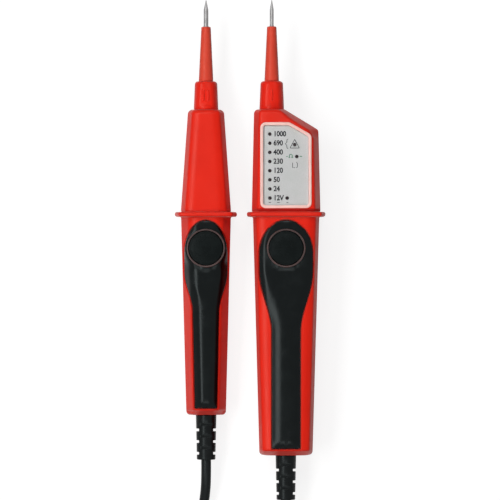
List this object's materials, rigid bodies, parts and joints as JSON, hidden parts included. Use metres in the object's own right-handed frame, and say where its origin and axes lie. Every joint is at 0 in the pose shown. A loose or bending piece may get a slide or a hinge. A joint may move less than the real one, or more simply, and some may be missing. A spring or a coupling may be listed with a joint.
{
  "type": "two-pole voltage tester",
  "caption": "Two-pole voltage tester: a display handle and a plain handle, each with a sleeved test pin, finger guard and round push-button, joined by a lead.",
  "frame": {"origin": "under the middle of the two handles' box, without their lead, on the surface they lie on", "axes": "+Z out of the handles' front faces, +Y along them to the test pins, +X from the plain handle to the display handle"},
  "size_m": [0.078, 0.3528, 0.04],
  "materials": {
    "case_red": "moulded, satin",
    "sleeve_red": "moulded, smooth",
    "grip_black": "soft, satin",
    "relief_black": "moulded, satin",
    "seal_black": "matt",
    "button_black": "moulded, smooth",
    "ring_grey": "moulded, smooth",
    "frame_pale": "printed edge, smooth",
    "window_clear": "clear, polished",
    "scale_grey": "printed film",
    "lamp_red": "tinted, clear",
    "board_green": "solder mask",
    "part_black": "moulded",
    "plunger_cream": "moulded",
    "ceramic_white": "fired, matt",
    "thermistor_blue": "dipped",
    "lead_black": "extruded, satin",
    "tie_black": "woven band",
    "steel": "plated",
    "pin_steel": "polished",
    "weight_brass": "sintered",
    "copper": "tinned wire",
    "cell_can": "printed sleeve"
  },
  "bodies": {
    "tester": {"display_front_shell": "case_red", "display_rear_shell": "case_red", "display_grip_inlay": "grip_black", "display_window_frame": "frame_pale", "display_window": "window_clear", "display_scale_plate": "scale_grey", "display_lamp_holder": "part_black", "display_lamps": "lamp_red", "display_lamp_board": "board_green", "display_board_connector": "part_black", "display_circuit_board": "board_green", "display_controller_chip": "part_black", "display_load_resistor": "ceramic_white", "display_buzzer": "part_black", "display_push_switch": "part_black", "display_button_ring": "ring_grey", "display_button_spring": "steel", "display_vibration_motor": "steel", "display_batteries": "cell_can", "display_battery_contacts": "steel", "display_battery_cover": "case_red", "display_cover_screw": "steel", "display_case_screws": "steel", "display_nose_collar": "case_red", "display_nose_seal": "seal_black", "display_pin_sleeve": "sleeve_red", "display_test_pin": "pin_steel", "display_pin_conductor": "copper", "display_strain_relief": "relief_black", "display_lead_crimp": "steel", "display_lead_end": "lead_black", "second_front_shell": "case_red", "second_rear_shell": "case_red", "second_grip_inlay": "grip_black", "second_circuit_board": "board_green", "second_load_resistor": "ceramic_white", "second_thermistor": "thermistor_blue", "second_push_switch": "part_black", "second_button_ring": "ring_grey", "second_button_spring": "steel", "second_case_screws": "steel", "second_nose_collar": "case_red", "second_nose_seal": "seal_black", "second_pin_sleeve": "sleeve_red", "second_test_pin": "pin_steel", "second_pin_conductor": "copper", "second_strain_relief": "relief_black", "second_lead_crimp": "steel", "second_lead_end": "lead_black", "lead_run_display": "lead_black", "lead_run_second": "lead_black", "lead_coil": "lead_black", "lead_tie": "tie_black"},
    "display_push_button": {"display_button": "button_black", "display_switch_plunger": "plunger_cream"},
    "second_push_button": {"second_button": "button_black", "second_switch_plunger": "plunger_cream"},
    "motor_eccentric": {"display_motor_weight": "weight_brass"}
  },
  "joints": [
    {"name": "display_button_press", "type": "slide", "parent": "tester", "child": "display_push_button", "axis": [0, 0, -1], "range_m": [0, 0.0013], "stiffness_N_per_m": 600, "springref_m": -0.0008, "deforming": ["display_button_spring"]},
    {"name": "second_button_press", "type": "slide", "parent": "tester", "child": "second_push_button", "axis": [0, 0, -1], "range_m": [0, 0.0013], "stiffness_N_per_m": 600, "springref_m": -0.0008, "deforming": ["second_button_spring"]},
    {"name": "motor_spin", "type": "hinge", "parent": "tester", "child": "motor_eccentric", "pos_m": [0.0187, -0.0452, 0.0232], "axis": [0, 1, 0], "continuous": true}
  ]
}
